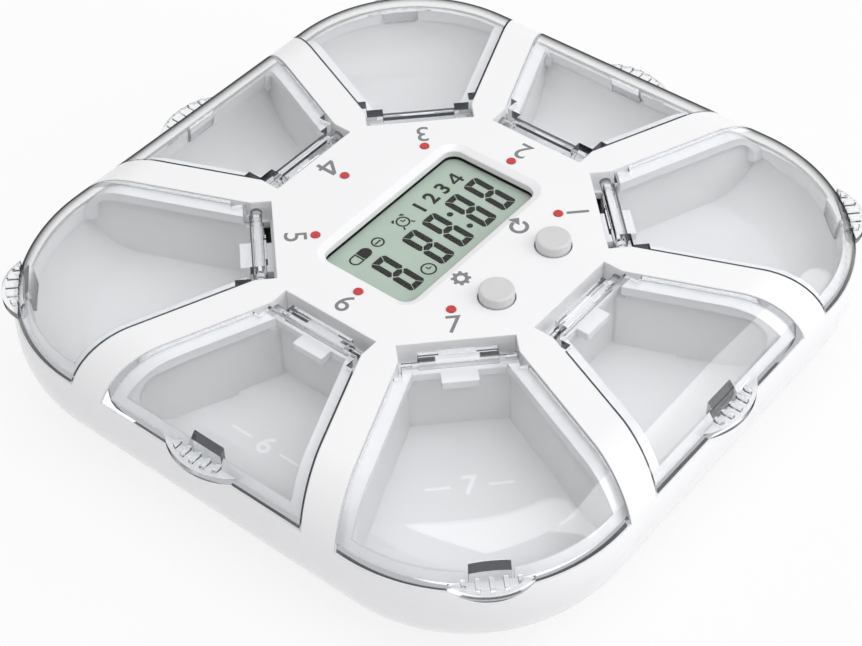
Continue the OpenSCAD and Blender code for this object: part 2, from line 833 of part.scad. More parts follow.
module control_chip() {
    color("black")
        translate([-button_x - chip_w / 2, -button_y + switch_w / 2, board_z - board_t - chip_t])
            cube([chip_w, chip_w, chip_t]);
}

// Clock crystal, two capacitors and a row of resistors under the board
module board_components() {
    under = board_z - board_t;
    color("tan") {
        translate([button_x, -button_y + switch_w, under - crystal_d / 2]) rotate([0, 90, 0])
            cylinder(d = crystal_d, h = 3 * crystal_d);
        for (s = [-1, 1]) translate([(s - 3) * capacitor_d, buzzer_y - crystal_d, under - buzzer_h])
            cylinder(d = capacitor_d, h = buzzer_h);
        for (k = [0 : 3])
            translate([buzzer_d + k * capacitor_d, buzzer_y - buzzer_d / 2, under - chip_t / 2])
                cube([crystal_d / 2, crystal_d, chip_t / 2]);
    }
}

// Room round the contacts' tabs through the bay, or the tabs themselves with no gap
module contact_tabs(gap) {
    tab_z = bay_top - bay_wall - snug;
    for (s = [-1, 1])
        translate([bay_l / 2 - contact_t - gap, s * cell_pitch / 2 - contact_tab_w / 2 - gap, tab_z])
            cube([contact_t + gap, contact_tab_w + 2 * gap, board_z - board_t - tab_z]);
}

module battery_contacts() {
    plate_z = base_z + pad_t;
    plate_h = bay_top - bay_wall - plate_z;
    nub_h = contact_room - contact_t - snug;
    plate_w = cell_d - 2 * nub_h;
    nub_d = cell_d / 3;
    color("silver") {
        contact_tabs(0);
        for (s = [-1, 1])
            translate([bay_l / 2 - contact_t, s * cell_pitch / 2 - plate_w / 2, plate_z])
                cube([contact_t, plate_w, plate_h]);
        translate([-bay_l / 2, -cell_pitch / 2 - plate_w / 2, plate_z])
            cube([contact_t, cell_pitch + plate_w, plate_h]);
        // Coil seats: tapered springs on the negative ends, domes on the positive ends
        for (s = [-1, 1]) translate([0, s * cell_pitch / 2, cell_z]) {
            translate([s * (bay_l / 2 - contact_t), 0, 0]) rotate([0, -90 * s, 0])
                cylinder(d1 = nub_d, d2 = nub_d / 2, h = nub_h);
            translate([-s * (bay_l / 2 - contact_t), 0, 0]) rotate([0, 90 * s, 0])
                cylinder(d1 = 2 * nub_d, d2 = nub_d, h = nub_h);
        }
    }
}

// One AAA cell, its button towards +X or -X
module cell(side) {
    shift = (cell_len + cell_button) / 2;
    color("dimgray") translate([0, side * cell_pitch / 2, cell_z]) rotate([0, 90 * side, 0]) {
        translate([0, 0, -shift]) cylinder(d = cell_d, h = cell_len);
        translate([0, 0, -shift]) cylinder(d = cell_d / 3, h = cell_len + cell_button);
    }
}

module battery_door() {
    color("white") difference() {
        union() {
            bay_block(door_l, door_w, base_z, door_t);
            for (y = door_tab_y)
                translate([-door_l / 2 - door_tab, y - door_tab_l / 2, base_z + door_t / 2])
                    cube([door_l + 2 * door_tab, door_tab_l, door_t / 2]);
        }
        // Finger grooves
        for (k = [1 : 4]) translate([-groove_l / 2, -door_w / 2 + 2 * k * groove_w, base_z - 1])
            cube([groove_l, groove_w, 1 + door_t / 3]);
    }
}

module each_foot() {
    for (x = [-1, 1], y = [-1, 1]) translate([x * foot_at, y * foot_at, 0]) children();
}

module rubber_feet() {
    color("gray") each_foot() cylinder(d = foot_d, h = base_z + foot_sunk);
}

module case_screws() {
    color("silver") each_screw() {
        translate([0, 0, base_z + screw_sunk]) cylinder(d = screw_head_d, h = screw_head_t);
        translate([0, 0, base_z + screw_sunk + screw_head_t])
            cylinder(d = screw_d, h = post_z + screw_grip - base_z - screw_sunk - screw_head_t);
    }
}

top_housing();
bottom_cover();
post_sleeves();
pill_cup(1);  // pill_cup_1
pill_cup(2);  // pill_cup_2
pill_cup(3);  // pill_cup_3
pill_cup(4);  // pill_cup_4
pill_cup(5);  // pill_cup_5
pill_cup(6);  // pill_cup_6
pill_cup(7);  // pill_cup_7
pill_cup(8);  // pill_cup_8
lid(1);  // lid_1
lid(2);  // lid_2
lid(3);  // lid_3
lid(4);  // lid_4
lid(5);  // lid_5
lid(6);  // lid_6
lid(7);  // lid_7
lid(8);  // lid_8
display_lens();
lcd_glass();
lcd_frame();
zebra_strips();
circuit_board();
board_screws();
tact_switches();
plunger(-1);  // set_plunger
plunger(1);  // cycle_plunger
button_cap(-1);  // set_button
button_cap(1);  // cycle_button
indicator_leds();
light_pipes();
buzzer();
control_chip();
board_components();
battery_contacts();
cell(1);  // battery_cell_a
cell(-1);  // battery_cell_b
battery_door();
rubber_feet();
case_screws();
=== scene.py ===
# Looks for the pill organiser: finishes for every CAD node, the printed numbers and
# symbols, the clock's segments, and a plain white studio.
import math
import bpy
from mathutils import Matrix, Vector


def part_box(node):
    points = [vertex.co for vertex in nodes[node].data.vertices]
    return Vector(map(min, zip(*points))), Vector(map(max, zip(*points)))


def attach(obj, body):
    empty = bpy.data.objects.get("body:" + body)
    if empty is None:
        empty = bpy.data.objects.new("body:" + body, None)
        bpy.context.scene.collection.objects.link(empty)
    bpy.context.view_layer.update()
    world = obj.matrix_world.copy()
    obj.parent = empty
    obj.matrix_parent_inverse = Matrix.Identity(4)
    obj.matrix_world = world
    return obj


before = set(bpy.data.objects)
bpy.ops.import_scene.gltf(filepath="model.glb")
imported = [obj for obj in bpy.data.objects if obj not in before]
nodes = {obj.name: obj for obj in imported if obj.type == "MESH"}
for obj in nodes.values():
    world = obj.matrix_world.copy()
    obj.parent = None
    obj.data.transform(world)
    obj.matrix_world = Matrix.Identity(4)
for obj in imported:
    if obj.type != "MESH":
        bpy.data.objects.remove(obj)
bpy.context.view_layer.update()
mm = 0.001
deckTop = 0.0308  # deck surface above the table
print("frame loaded:", len(nodes), "nodes")


def fromHex(text):
    # sRGB hex to linear colour
    parts = [int(text[i:i + 2], 16) / 255 for i in (0, 2, 4)]
    return [p / 12.92 if p <= 0.04045 else ((p + 0.055) / 1.055) ** 2.4 for p in parts] + [1.0]


mixA, mixB, mixOut = 6, 7, 2  # colour sockets of a Mix node


def addNode(tree, kind, settings=None, links=None):
    # settings are node properties or socket values; links are {socket: (node, output)}
    node = tree.nodes.new(kind)
    for key, value in (settings or {}).items():
        if isinstance(key, str) and hasattr(node, key):
            setattr(node, key, value)
        else:
            node.inputs[key].default_value = value
    for key, (source, output) in (links or {}).items():
        tree.links.new(source.outputs[output], node.inputs[key])
    return node


def newMaterial(name, surface):
    # surface(tree) builds the nodes and returns the shader and its output's name
    material = bpy.data.materials.new(name)
    material.use_nodes = True
    tree = material.node_tree
    tree.nodes.clear()
    shader, output = surface(tree)
    addNode(tree, "ShaderNodeOutputMaterial", links={"Surface": (shader, output)})
    return material


# How far the roughness drifts round its value, as shares of it
mouldedDrift = (0.9, 1.1)
clearDrift = (0.7, 1.3)


def mouldedSurface(look):
    # Colour mottle, roughness drift and a fine bump, all at real sizes
    def build(tree):
        place = addNode(tree, "ShaderNodeTexCoord")
        mottle = addNode(tree, "ShaderNodeTexNoise",
                         {"Scale": 1000 / look["mottleMm"], "Detail": 2.0},
                         {"Vector": (place, "Object")})
        tint = addNode(tree, "ShaderNodeMix",
                       {"data_type": "RGBA", mixA: fromHex(look["colour"]),
                        mixB: fromHex(look["shade"])},
                       {"Factor": (mottle, "Fac")})
        low, high = mouldedDrift
        rough = addNode(tree, "ShaderNodeMapRange",
                        {"To Min": look["roughness"] * low, "To Max": look["roughness"] * high},
                        {"Value": (mottle, "Fac")})
        grain = addNode(tree, "ShaderNodeTexNoise",
                        {"Scale": 1000 / look["grainMm"], "Detail": 1.0},
                        {"Vector": (place, "Object")})
        bump = addNode(tree, "ShaderNodeBump",
                       {"Strength": look["bump"], "Distance": look["bumpMm"] * mm},
                       {"Height": (grain, "Fac")})
        if look.get("edgeMm"):  # softens the sharp CAD edges in the light
            edge = addNode(tree, "ShaderNodeBevel",
                           {"samples": 4, "Radius": look["edgeMm"] * mm})
            tree.links.new(edge.outputs["Normal"], bump.inputs["Normal"])
        shader = addNode(tree, "ShaderNodeBsdfPrincipled",
                         {"IOR": look["ior"], "Metallic": look.get("metallic", 0.0)},
                         {"Base Color": (tint, mixOut), "Roughness": (rough, "Result"),
                          "Normal": (bump, "Normal")})
        return shader, "BSDF"
    return build


def clearSurface(look):
    # Clear moulding: refracts, but lets light pass straight through to what it covers. Painted
    # shade darkens its bends, its silhouette and the rays caught between its faces
    def build(tree):
        place = addNode(tree, "ShaderNodeTexCoord")
        flow = addNode(tree, "ShaderNodeTexNoise",
                       {"Scale": 1000 / look["flowMm"], "Detail": 1.0},
                       {"Vector": (place, "Object")})
        low, high = clearDrift
        rough = addNode(tree, "ShaderNodeMapRange",
                        {"To Min": look["roughness"] * low, "To Max": look["roughness"] * high},
                        {"Value": (flow, "Fac")})
        bump = addNode(tree, "ShaderNodeBump",
                       {"Strength": look["bump"], "Distance": look["bumpMm"] * mm},
                       {"Height": (flow, "Fac")})
        # Painted shade: where it bends away from view, the moulding's colour turns dark
        grazing = addNode(tree, "ShaderNodeLayerWeight", {"Blend": 0.5})
        bend = addNode(tree, "ShaderNodeMapRange",
                       {"From Min": look["edgeFrom"], "From Max": look["edgeTo"]},
                       {"Value": (grazing, "Facing")})
        side = addNode(tree, "ShaderNodeNewGeometry")
        paintedBendShade = addNode(tree, "ShaderNodeMath", {"operation": "SUBTRACT", "use_clamp": True},
                         {0: (bend, "Result"), 1: (side, "Backfacing")})
        tint = addNode(tree, "ShaderNodeMix",
                       {"data_type": "RGBA", mixA: fromHex(look["colour"]),
                        mixB: fromHex(look["edge"])},
                       {"Factor": (paintedBendShade, "Value")})
        shell = addNode(tree, "ShaderNodeBsdfPrincipled",
                        {"IOR": look["ior"], "Transmission Weight": 1.0},
                        {"Base Color": (tint, mixOut), "Roughness": (rough, "Result"),
                         "Normal": (bump, "Normal")})
        body = (shell, "BSDF")
        if look.get("rimShadeShare"):
            # Painted shade at its silhouette: part of it turns into a dark see-through tint, so
            # it mirrors less of the white room
            rim = addNode(tree, "ShaderNodeMapRange",
                          {"From Min": look["rimFrom"], "From Max": look["rimTo"],
                           "To Max": look["rimShadeShare"]},
                          {"Value": (grazing, "Facing")})
            dull = addNode(tree, "ShaderNodeMath", {"operation": "SUBTRACT", "use_clamp": True},
                           {0: (rim, "Result"), 1: (side, "Backfacing")})
            paintedRimDark = addNode(tree, "ShaderNodeBsdfTransparent", links={"Color": (tint, mixOut)})
            body = (addNode(tree, "ShaderNodeMixShader",
                            links={0: (dull, "Value"), 1: (shell, "BSDF"), 2: (paintedRimDark, "BSDF")}),
                    "Shader")
        # Painted shade: after a few bounces, rays caught between the faces pass straight through,
        # tinted grey and dimmer
        path = addNode(tree, "ShaderNodeLightPath")
        paintedTrapShade = addNode(tree, "ShaderNodeMath",
                         {"operation": "GREATER_THAN", 1: look["bounces"] - 0.5},
                         {0: (path, "Glossy Depth")})
        straight = addNode(tree, "ShaderNodeMath", {"operation": "MAXIMUM"},
                           {0: (paintedTrapShade, "Value"), 1: (path, "Is Shadow Ray")})
        dimming = addNode(tree, "ShaderNodeMix",
                          {"data_type": "RGBA", mixA: fromHex(look["shadow"]),
                           mixB: fromHex(look["paintedTrapShade"])},
                          {"Factor": (paintedTrapShade, "Value")})
        passing = addNode(tree, "ShaderNodeBsdfTransparent",
                          links={"Color": (dimming, mixOut)})
        both = addNode(tree, "ShaderNodeMixShader",
                       links={0: (straight, "Value"), 1: body, 2: (passing, "BSDF")})
        return both, "Shader"
    return build


finishes = {
    # High-gloss moulded ABS: near white, clean reflections, a trace of orange peel
    "glossyWhiteAbs": dict(
        colour="F4F4F5", shade="F0F0F2", roughness=0.16, ior=1.54, mottleMm=18, grainMm=2.5,
        bump=0.08, bumpMm=0.03, edgeMm=0.35),
    # Satin ABS for the hidden cover and door: spark-eroded grain about 0.4 mm
    "satinWhiteAbs": dict(
        colour="ECECEE", shade="E6E6E9", roughness=0.38, ior=1.54, mottleMm=12, grainMm=0.4,
        bump=0.2, bumpMm=0.02, edgeMm=0.25),
    # Moulded polypropylene cups: an even grey-white with a satin skin
    "milkyPolypropylene": dict(
        colour="E6E6E6", shade="E2E2E3", roughness=0.34, ior=1.49, mottleMm=9, grainMm=0.6,
        bump=0.1, bumpMm=0.02, edgeMm=0.2),
    # Grey ABS buttons, slightly duller than the case
    "greyAbs": dict(
        colour="D3D3D4", shade="CDCDCE", roughness=0.3, ior=1.54, mottleMm=3, grainMm=0.3,
        bump=0.1, bumpMm=0.01, edgeMm=0.2),
    # Reflective liquid crystal glass: grey-green, with the film's fine grain
    "crystalGlass": dict(
        colour="A0ADA3", shade="9AA79D", roughness=0.4, ior=1.45, mottleMm=5, grainMm=0.25,
        bump=0.06, bumpMm=0.01),
    # Near-black segments as the crystal darkens
    "darkSegment": dict(
        colour="060706", shade="0B0D0B", roughness=0.5, ior=1.3, mottleMm=1, grainMm=0.2,
        bump=0.05, bumpMm=0.005),
    # Moulded black nylon of the switches, frame and buzzer: dull, with a fine grain
    "matteBlackPlastic": dict(
        colour="17181A", shade="1E1F22", roughness=0.5, ior=1.5, mottleMm=2, grainMm=0.3,
        bump=0.2, bumpMm=0.02),
    # Pad-printed ink of the deck's numbers and symbols: mid grey, slightly uneven
    "greyInk": dict(
        colour="828284", shade="7A7A7C", roughness=0.45, ior=1.48, mottleMm=0.8, grainMm=0.15,
        bump=0.15, bumpMm=0.005),
    # Pad-printed pale ink on the cup floors: just lighter than the cups
    "paleInk": dict(
        colour="FAFAFA", shade="F3F3F3", roughness=0.4, ior=1.48, mottleMm=0.8, grainMm=0.15,
        bump=0.15, bumpMm=0.005),
    # Extruded silicone rubber with conducting layers: soft pink, no shine
    "pinkSilicone": dict(
        colour="C98A8E", shade="B9787D", roughness=0.6, ior=1.41, mottleMm=0.6, grainMm=0.2,
        bump=0.2, bumpMm=0.02),
    # Solder mask over glass fibre: the weave shows faintly
    "greenSolderMask": dict(
        colour="1D5A35", shade="18502E", roughness=0.32, ior=1.5, mottleMm=1.2, grainMm=0.5,
        bump=0.2, bumpMm=0.02),
    # Zinc-plated steel screws: cool grey, blurred reflections
    "zincSteel": dict(
        colour="B9BCC0", shade="A9ACB2", roughness=0.3, ior=1.5, metallic=1.0, mottleMm=1.5,
        grainMm=0.2, bump=0.2, bumpMm=0.01),
    # Nickel-plated spring steel contacts: warmer and shinier than the screws
    "nickelSpringSteel": dict(
        colour="C9C4B8", shade="BAB5A9", roughness=0.22, ior=1.5, metallic=1.0, mottleMm=2,
        grainMm=0.2, bump=0.15, bumpMm=0.01),
    # Fired ceramic of the small board components: tan, slightly rough
    "ceramicBodies": dict(
        colour="B59A6B", shade="A68B5D", roughness=0.45, ior=1.6, mottleMm=0.8, grainMm=0.2,
        bump=0.2, bumpMm=0.01),
    # Cast epoxy of the lamps on the board: cream, half dull
    "lampChip": dict(
        colour="F0E4CC", shade="E8D9B8", roughness=0.4, ior=1.5, mottleMm=0.5, grainMm=0.1,
        bump=0.1, bumpMm=0.005),
    # Shrunk film on the cells: dark slate with a smooth sheen
    "cellSleeve": dict(
        colour="3A3F47", shade="333840", roughness=0.28, ior=1.5, mottleMm=4, grainMm=0.6,
        bump=0.1, bumpMm=0.02),
    # Moulded rubber feet: mid grey, nearly without reflections
    "greyRubber": dict(
        colour="8B8B8D", shade="7F7F82", roughness=0.7, ior=1.52, mottleMm=1.5, grainMm=0.3,
        bump=0.3, bumpMm=0.03),
}
clears = {
    # Clear polystyrene lids: bright, high index, faint flow marks from the gate; the edge, rim
    # and trapped-ray colours are painted shade
    "clearPolystyrene": dict(
        colour="F8F9FA", edge="0C0D0E", edgeFrom=0.6, edgeTo=0.74, shadow="F1F2F3",
        paintedTrapShade="B4B6BA", roughness=0.05, ior=1.59, flowMm=16, bump=0.05, bumpMm=0.04, bounces=2,
        rimFrom=0.76, rimTo=0.82, rimShadeShare=0.85),
    # Acrylic window over the clock, with a hard coat that cuts its reflections; its edge colour
    # is painted shade where it turns from view
    "clearAcrylic": dict(
        colour="FBFCFB", edge="8C908E", edgeFrom=0.85, edgeTo=1.0, shadow="F5F6F5",
        paintedTrapShade="F5F6F5", roughness=0.02, ior=1.2, flowMm=10, bump=0.02, bumpMm=0.02, bounces=3),
}
materials = {name: newMaterial(name, mouldedSurface(look)) for name, look in finishes.items()}
materials.update({name: newMaterial(name, clearSurface(look)) for name, look in clears.items()})

# Red tinted acrylic lamp windows, lit from below
lampLook = dict(colour="B0262A", glow="C8383A", strength=0.12, roughness=0.25, ior=1.49,
                spreadMm=0.9)


def lampSurface(tree):
    place = addNode(tree, "ShaderNodeTexCoord")
    cloud = addNode(tree, "ShaderNodeTexNoise",
                    {"Scale": 1000 / lampLook["spreadMm"], "Detail": 1.0},
                    {"Vector": (place, "Object")})
    tint = addNode(tree, "ShaderNodeMix",
                   {"data_type": "RGBA", mixA: fromHex(lampLook["colour"]),
                    mixB: fromHex(lampLook["glow"])},
                   {"Factor": (cloud, "Fac")})
    shader = addNode(tree, "ShaderNodeBsdfPrincipled",
                     {"Roughness": lampLook["roughness"], "IOR": lampLook["ior"],
                      "Emission Strength": lampLook["strength"]},
                     {"Base Color": (tint, mixOut), "Emission Color": (tint, mixOut)})
    return shader, "BSDF"


materials["redAcrylic"] = newMaterial("redAcrylic", lampSurface)
print("materials made:", len(materials))

nodeFinish = {
    "top_housing": "glossyWhiteAbs", "bottom_cover": "satinWhiteAbs",
    "battery_door": "satinWhiteAbs", "post_sleeves": "satinWhiteAbs",
    "display_lens": "clearAcrylic", "lcd_glass": "crystalGlass",
    "lcd_frame": "matteBlackPlastic", "zebra_strips": "pinkSilicone",
    "circuit_board": "greenSolderMask", "board_screws": "zincSteel",
    "tact_switches": "matteBlackPlastic", "set_plunger": "matteBlackPlastic",
    "cycle_plunger": "matteBlackPlastic", "set_button": "greyAbs", "cycle_button": "greyAbs",
    "indicator_leds": "lampChip", "light_pipes": "redAcrylic", "buzzer": "matteBlackPlastic",
    "control_chip": "matteBlackPlastic", "board_components": "ceramicBodies",
    "battery_contacts": "nickelSpringSteel", "battery_cell_a": "cellSleeve",
    "battery_cell_b": "cellSleeve", "rubber_feet": "greyRubber", "case_screws": "zincSteel",
}
for number in range(1, 9):
    nodeFinish["pill_cup_%d" % number] = "milkyPolypropylene"
    nodeFinish["lid_%d" % number] = "clearPolystyrene"
for name, node in nodes.items():
    node.data.materials.clear()
    node.data.materials.append(materials[nodeFinish[name]])
print("CAD nodes finished")


def solidFrom(curve, name, material, body, slot):
    # Turns a filled curve or text into a thin closed mesh piece
    holder = bpy.data.objects.new(name + "Curve", curve)
    bpy.context.scene.collection.objects.link(holder)
    bpy.context.view_layer.update()
    mesh = bpy.data.meshes.new_from_object(holder)
    bpy.data.objects.remove(holder)
    piece = bpy.data.objects.new(name, mesh)
    bpy.context.scene.collection.objects.link(piece)
    mesh.materials.clear()
    mesh.materials.append(materials[material])
    return piece, body, slot


def placePiece(made, matrix):
    piece, body, slot = made
    piece.matrix_world = matrix
    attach(piece, body)


def flatCurve(name, loops, thick):
    # loops are closed outlines in mm; an inner one cuts a hole
    curve = bpy.data.curves.new(name, "CURVE")
    curve.dimensions = "2D"
    curve.fill_mode = "BOTH"
    curve.extrude = thick / 2 * mm
    for loop in loops:
        line = curve.splines.new("POLY")
        line.points.add(len(loop) - 1)
        for point, (x, y) in zip(line.points, loop):
            point.co = (x * mm, y * mm, 0, 1)
        line.use_cyclic_u = True
    return curve


# Outline of an open 4 in shares of its height, because the plain font fills its middle
fourMiddle = (0.43, 0.5)
fourOutline = [(0.54, 0), (0.72, 0), (0.72, 0.22), (0.84, 0.22), (0.84, 0.37), (0.72, 0.37),
               (0.72, 1), (0.52, 1), (0.02, 0.36), (0.02, 0.22), (0.54, 0.22)]
fourHole = [(0.54, 0.37), (0.54, 0.77), (0.22, 0.37)]
figureShare = 0.73  # height of a figure in the plain font, as a share of its size


def textCurve(name, words, height, thick, bold):
    if words == "4":
        midX, midY = fourMiddle
        loops = [[((x - midX) * height, (y - midY) * height) for x, y in loop]
                 for loop in (fourOutline, fourHole)]
        return flatCurve(name, loops, thick)
    # Blender's own plain font, scaled so that a figure is height mm tall
    curve = bpy.data.curves.new(name, "FONT")
    curve.body = words
    curve.align_x = "CENTER"
    curve.align_y = "CENTER"
    curve.size = height / figureShare * mm
    curve.extrude = thick / 2 * mm
    curve.offset = bold * mm
    return curve


def circle(x, y, r, count=40):
    angles = [2 * math.pi * k / count for k in range(count)]
    return [(x + r * math.cos(a), y + r * math.sin(a)) for a in angles]


def bar(x0, y0, x1, y1, w):
    # A straight stroke of width w
    length = math.hypot(x1 - x0, y1 - y0)
    nx, ny = -(y1 - y0) / length * w / 2, (x1 - x0) / length * w / 2
    return [(x0 + nx, y0 + ny), (x0 - nx, y0 - ny), (x1 - nx, y1 - ny), (x1 + nx, y1 + ny)]


# The clock's segments lie on the crystal, under the window; sizes in mm
segmentLift = 0.015
clock = dict(
    z=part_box("lcd_glass")[1].z / mm + segmentLift, thick=0.02, digitW=3.95, digitH=10.4,
    stroke=1.3, gap=0.15, slant=0.045, midY=-0.5, digitX=[-12.2, -3.4, 2.4, 9.2, 15.0],
    dots=[(5.95, 1.8), (5.75, -3.05)], dotR=0.62, smallX=[4.0, 7.4, 10.85, 14.4], smallY=7.35,
    smallH=3.2, smallBold=0.13,
)


def digitSegments(x, y, w, h, t, g, slant):
    # Outlines of the seven segments of a figure: w wide, h tall, t thick, g apart
    mid, half = h / 2, t / 2
    k = t * 0.42  # mitre at the corners
    shapes = [
        [(k + g, h), (w - k - g, h), (w - t - g * 0.4, h - t), (t + g * 0.4, h - t)],
        [(k + g, 0), (w - k - g, 0), (w - t - g * 0.4, t), (t + g * 0.4, t)],
        [(k, h - g * 0.2), (0, h - k), (0, mid + k), (k * 0.8, mid + g), (t, mid + half + g),
         (t, h - t - g)],
        [(w - k, h - g * 0.2), (w, h - k), (w, mid + k), (w - k * 0.8, mid + g),
         (w - t, mid + half + g), (w - t, h - t - g)],
        [(k, g * 0.2), (0, k), (0, mid - k), (k * 0.8, mid - g), (t, mid - half - g), (t, t + g)],
        [(w - k, g * 0.2), (w, k), (w, mid - k), (w - k * 0.8, mid - g), (w - t, mid - half - g),
         (w - t, t + g)],
        [(k + g, mid), (t + g * 0.6, mid + half), (w - t - g * 0.6, mid + half), (w - k - g, mid),
         (w - t - g * 0.6, mid - half), (t + g * 0.6, mid - half)],
    ]
    return [[(x - w / 2 + px + slant * (py - mid), y - mid + py) for px, py in shape]
            for shape in shapes]


segmentLoops = []
for x in clock["digitX"]:
    segmentLoops += digitSegments(x, clock["midY"], clock["digitW"], clock["digitH"],
                                  clock["stroke"], clock["gap"], clock["slant"])
segmentLoops += [circle(x, y, clock["dotR"], 24) for x, y in clock["dots"]]
onGlass = Matrix.Translation((0, 0, clock["z"] * mm))
displayInk = ("darkSegment", "housing", "frame_plastic")  # material, body and slot
placePiece(solidFrom(flatCurve("figures", segmentLoops, clock["thick"]), "clockSegments",
                     *displayInk), onGlass)
for k, x in enumerate(clock["smallX"]):
    figure = textCurve("small", str(k + 1), clock["smallH"], clock["thick"], clock["smallBold"])
    placePiece(solidFrom(figure, "alarmFigure%d" % (k + 1), *displayInk),
               Matrix.Translation((x * mm, clock["smallY"] * mm, clock["z"] * mm)))

# Two clock pictures, a capsule and a tablet on the display
icons = dict(
    clockAt=(-7.95, -4.3), clockR=1.55, alarmAt=(-0.95, 7.5), alarmR=1.4, line=0.34,
    bellAngle=42, bellGap=0.28, bellR=0.5, footReach=0.1, footDrop=0.35,
    capsuleAt=(-13.0, 7.6), capsuleL=5.2, capsuleR=1.25, capsuleGap=0.15,
    tabletAt=(-8.1, 7.6), tabletR=1.3,
)


def clockFace(x, y, r, line):
    # A ring with two hands, their lengths in shares of its radius
    return [circle(x, y, r), circle(x, y, r - line), bar(x, y, x, y + r * 0.45, line * 0.8),
            bar(x - line * 0.2, y, x + r * 0.5, y, line * 0.8)]


def ringPart(x, y, r, line, start, end, count=16):
    # Part of a ring as one closed stroke
    angles = [math.radians(start + (end - start) * k / count) for k in range(count + 1)]
    outer = [(x + r * math.cos(a), y + r * math.sin(a)) for a in angles]
    inner = [(x + (r - line) * math.cos(a), y + (r - line) * math.sin(a)) for a in angles]
    return outer + inner[::-1]


def halfRound(x, y, r, start):
    # Half a circle from start degrees, without the way back
    count = 16
    return ringPart(x, y, r, r, start, start + 180, count)[:count + 1]


def iconLoops(look):
    x, y = look["alarmAt"]
    r, line = look["alarmR"], look["line"]
    loops = [clockFace(*look["clockAt"], look["clockR"], line), clockFace(x, y, r, line)]
    for side in (-1, 1):  # the alarm's two bells and feet
        turn = 90 - side * look["bellAngle"]
        bell, far = math.radians(turn), r + look["bellGap"]
        bx, by = x + far * math.cos(bell), y + far * math.sin(bell)
        loops.append([ringPart(bx, by, look["bellR"], look["bellR"], turn - 90, turn + 90)])
        loops.append([bar(x + side * r * 0.75, y - r * 0.75, x + side * (r + look["footReach"]),
                          y - r - look["footDrop"], line)])
    cx, cy = look["capsuleAt"]
    half, cr = look["capsuleL"] / 2 - look["capsuleR"], look["capsuleR"]
    loops.append([halfRound(cx + half, cy, cr, -90) + [(cx, cy + cr), (cx, cy - cr)]])
    end = cx - look["capsuleGap"]
    outer = halfRound(cx - half, cy, cr, 90) + [(end, cy - cr), (end, cy + cr)]
    inner = (halfRound(cx - half, cy, cr - line, 90)
             + [(end - line, cy - cr + line), (end - line, cy + cr - line)])
    loops.append([outer, inner])
    tx, ty = look["tabletAt"]
    tr = look["tabletR"]
    loops.append([circle(tx, ty, tr), circle(tx, ty, tr - line)])
    loops.append([bar(tx - tr * 0.6, ty, tx + tr * 0.6, ty, line)])
    return loops


for k, loops in enumerate(iconLoops(icons)):
    placePiece(solidFrom(flatCurve("icon", loops, clock["thick"]), "clockIcon%d" % (k + 1),
                         *displayInk), onGlass)

# Black printed border round the crystal, seen at the window's far edges
surround = dict(innerW=38.6, innerH=20.9, outerW=40.9, outerH=23.2, r=2.4, y=1.6)


def roundedLoop(w, h, r, y, steps=8):
    # Rectangle with round corners, its middle at height y
    loop = []
    for cx, cy, start in ((1, 1, 0), (-1, 1, 90), (-1, -1, 180), (1, -1, 270)):
        for k in range(steps + 1):
            a = math.radians(start + 90 * k / steps)
            loop.append((cx * (w / 2 - r) + r * math.cos(a),
                         y + cy * (h / 2 - r) + r * math.sin(a)))
    return loop


border = [roundedLoop(surround["outerW"], surround["outerH"], surround["r"], surround["y"]),
          roundedLoop(surround["innerW"], surround["innerH"], surround["r"], surround["y"])]
placePiece(solidFrom(flatCurve("border", border, clock["thick"]), "displayBorder",
                     *displayInk), onGlass)
print("display drawn")

# Numbers and symbols printed on the deck; sizes in mm, the tooth's root a share of its radius
deckPrint = dict(lift=0.006, thick=0.02, numberR=26.3, numberH=4.4, bold=0.03, symbolX=8.6,
                 symbolY=-12.3, symbolR=1.85, line=0.72, teeth=8, root=0.78)
deckInk = ("greyInk", "housing", "frame_plastic")


def radialPlace(number, radius, z):
    # On the middle line of a compartment, read from outside; radius in mm, z in metres
    bearing = math.radians(45 * (number - 2))
    return (Matrix.Translation((radius * math.cos(bearing) * mm,
                                radius * math.sin(bearing) * mm, z))
            @ Matrix.Rotation(bearing + math.pi / 2, 4, "Z"))


for number in range(1, 8):
    figure = textCurve("number", str(number), deckPrint["numberH"], deckPrint["thick"],
                       deckPrint["bold"])
    placePiece(solidFrom(figure, "deckNumber%d" % number, *deckInk),
               radialPlace(number, deckPrint["numberR"], deckTop + deckPrint["lift"] * mm))


def turnSymbol(r, line):
    # Open ring with an arrow head, its corners in shares of the ring's radius
    tip = [(r * 0.2, r * 1.5), (r * 0.2, r * 0.1), (r * 1.05, r * 0.8)]
    return [[ringPart(0, 0, r, line, 80, 370)], [tip]]


def settingSymbol(r, line):
    # Toothed ring
    root = r * deckPrint["root"]
    outline = []
    for k in range(deckPrint["teeth"]):
        for da, rr in ((-13, root), (-9, r), (9, r), (13, root)):  # flanks of one tooth
            a = math.radians(360 / deckPrint["teeth"] * k + da)
            outline.append((rr * math.cos(a), rr * math.sin(a)))
    return [[outline, circle(0, 0, root - line, 32)]]


for side, word, symbol in ((1, "Turn", turnSymbol), (-1, "Set", settingSymbol)):
    place = Matrix.Translation((side * deckPrint["symbolX"] * mm, deckPrint["symbolY"] * mm,
                                deckTop + deckPrint["lift"] * mm))
    for k, loops in enumerate(symbol(deckPrint["symbolR"], deckPrint["line"])):
        placePiece(solidFrom(flatCurve("symbol", loops, deckPrint["thick"]),
                             "deckSymbol%s%d" % (word, k + 1), *deckInk), place)

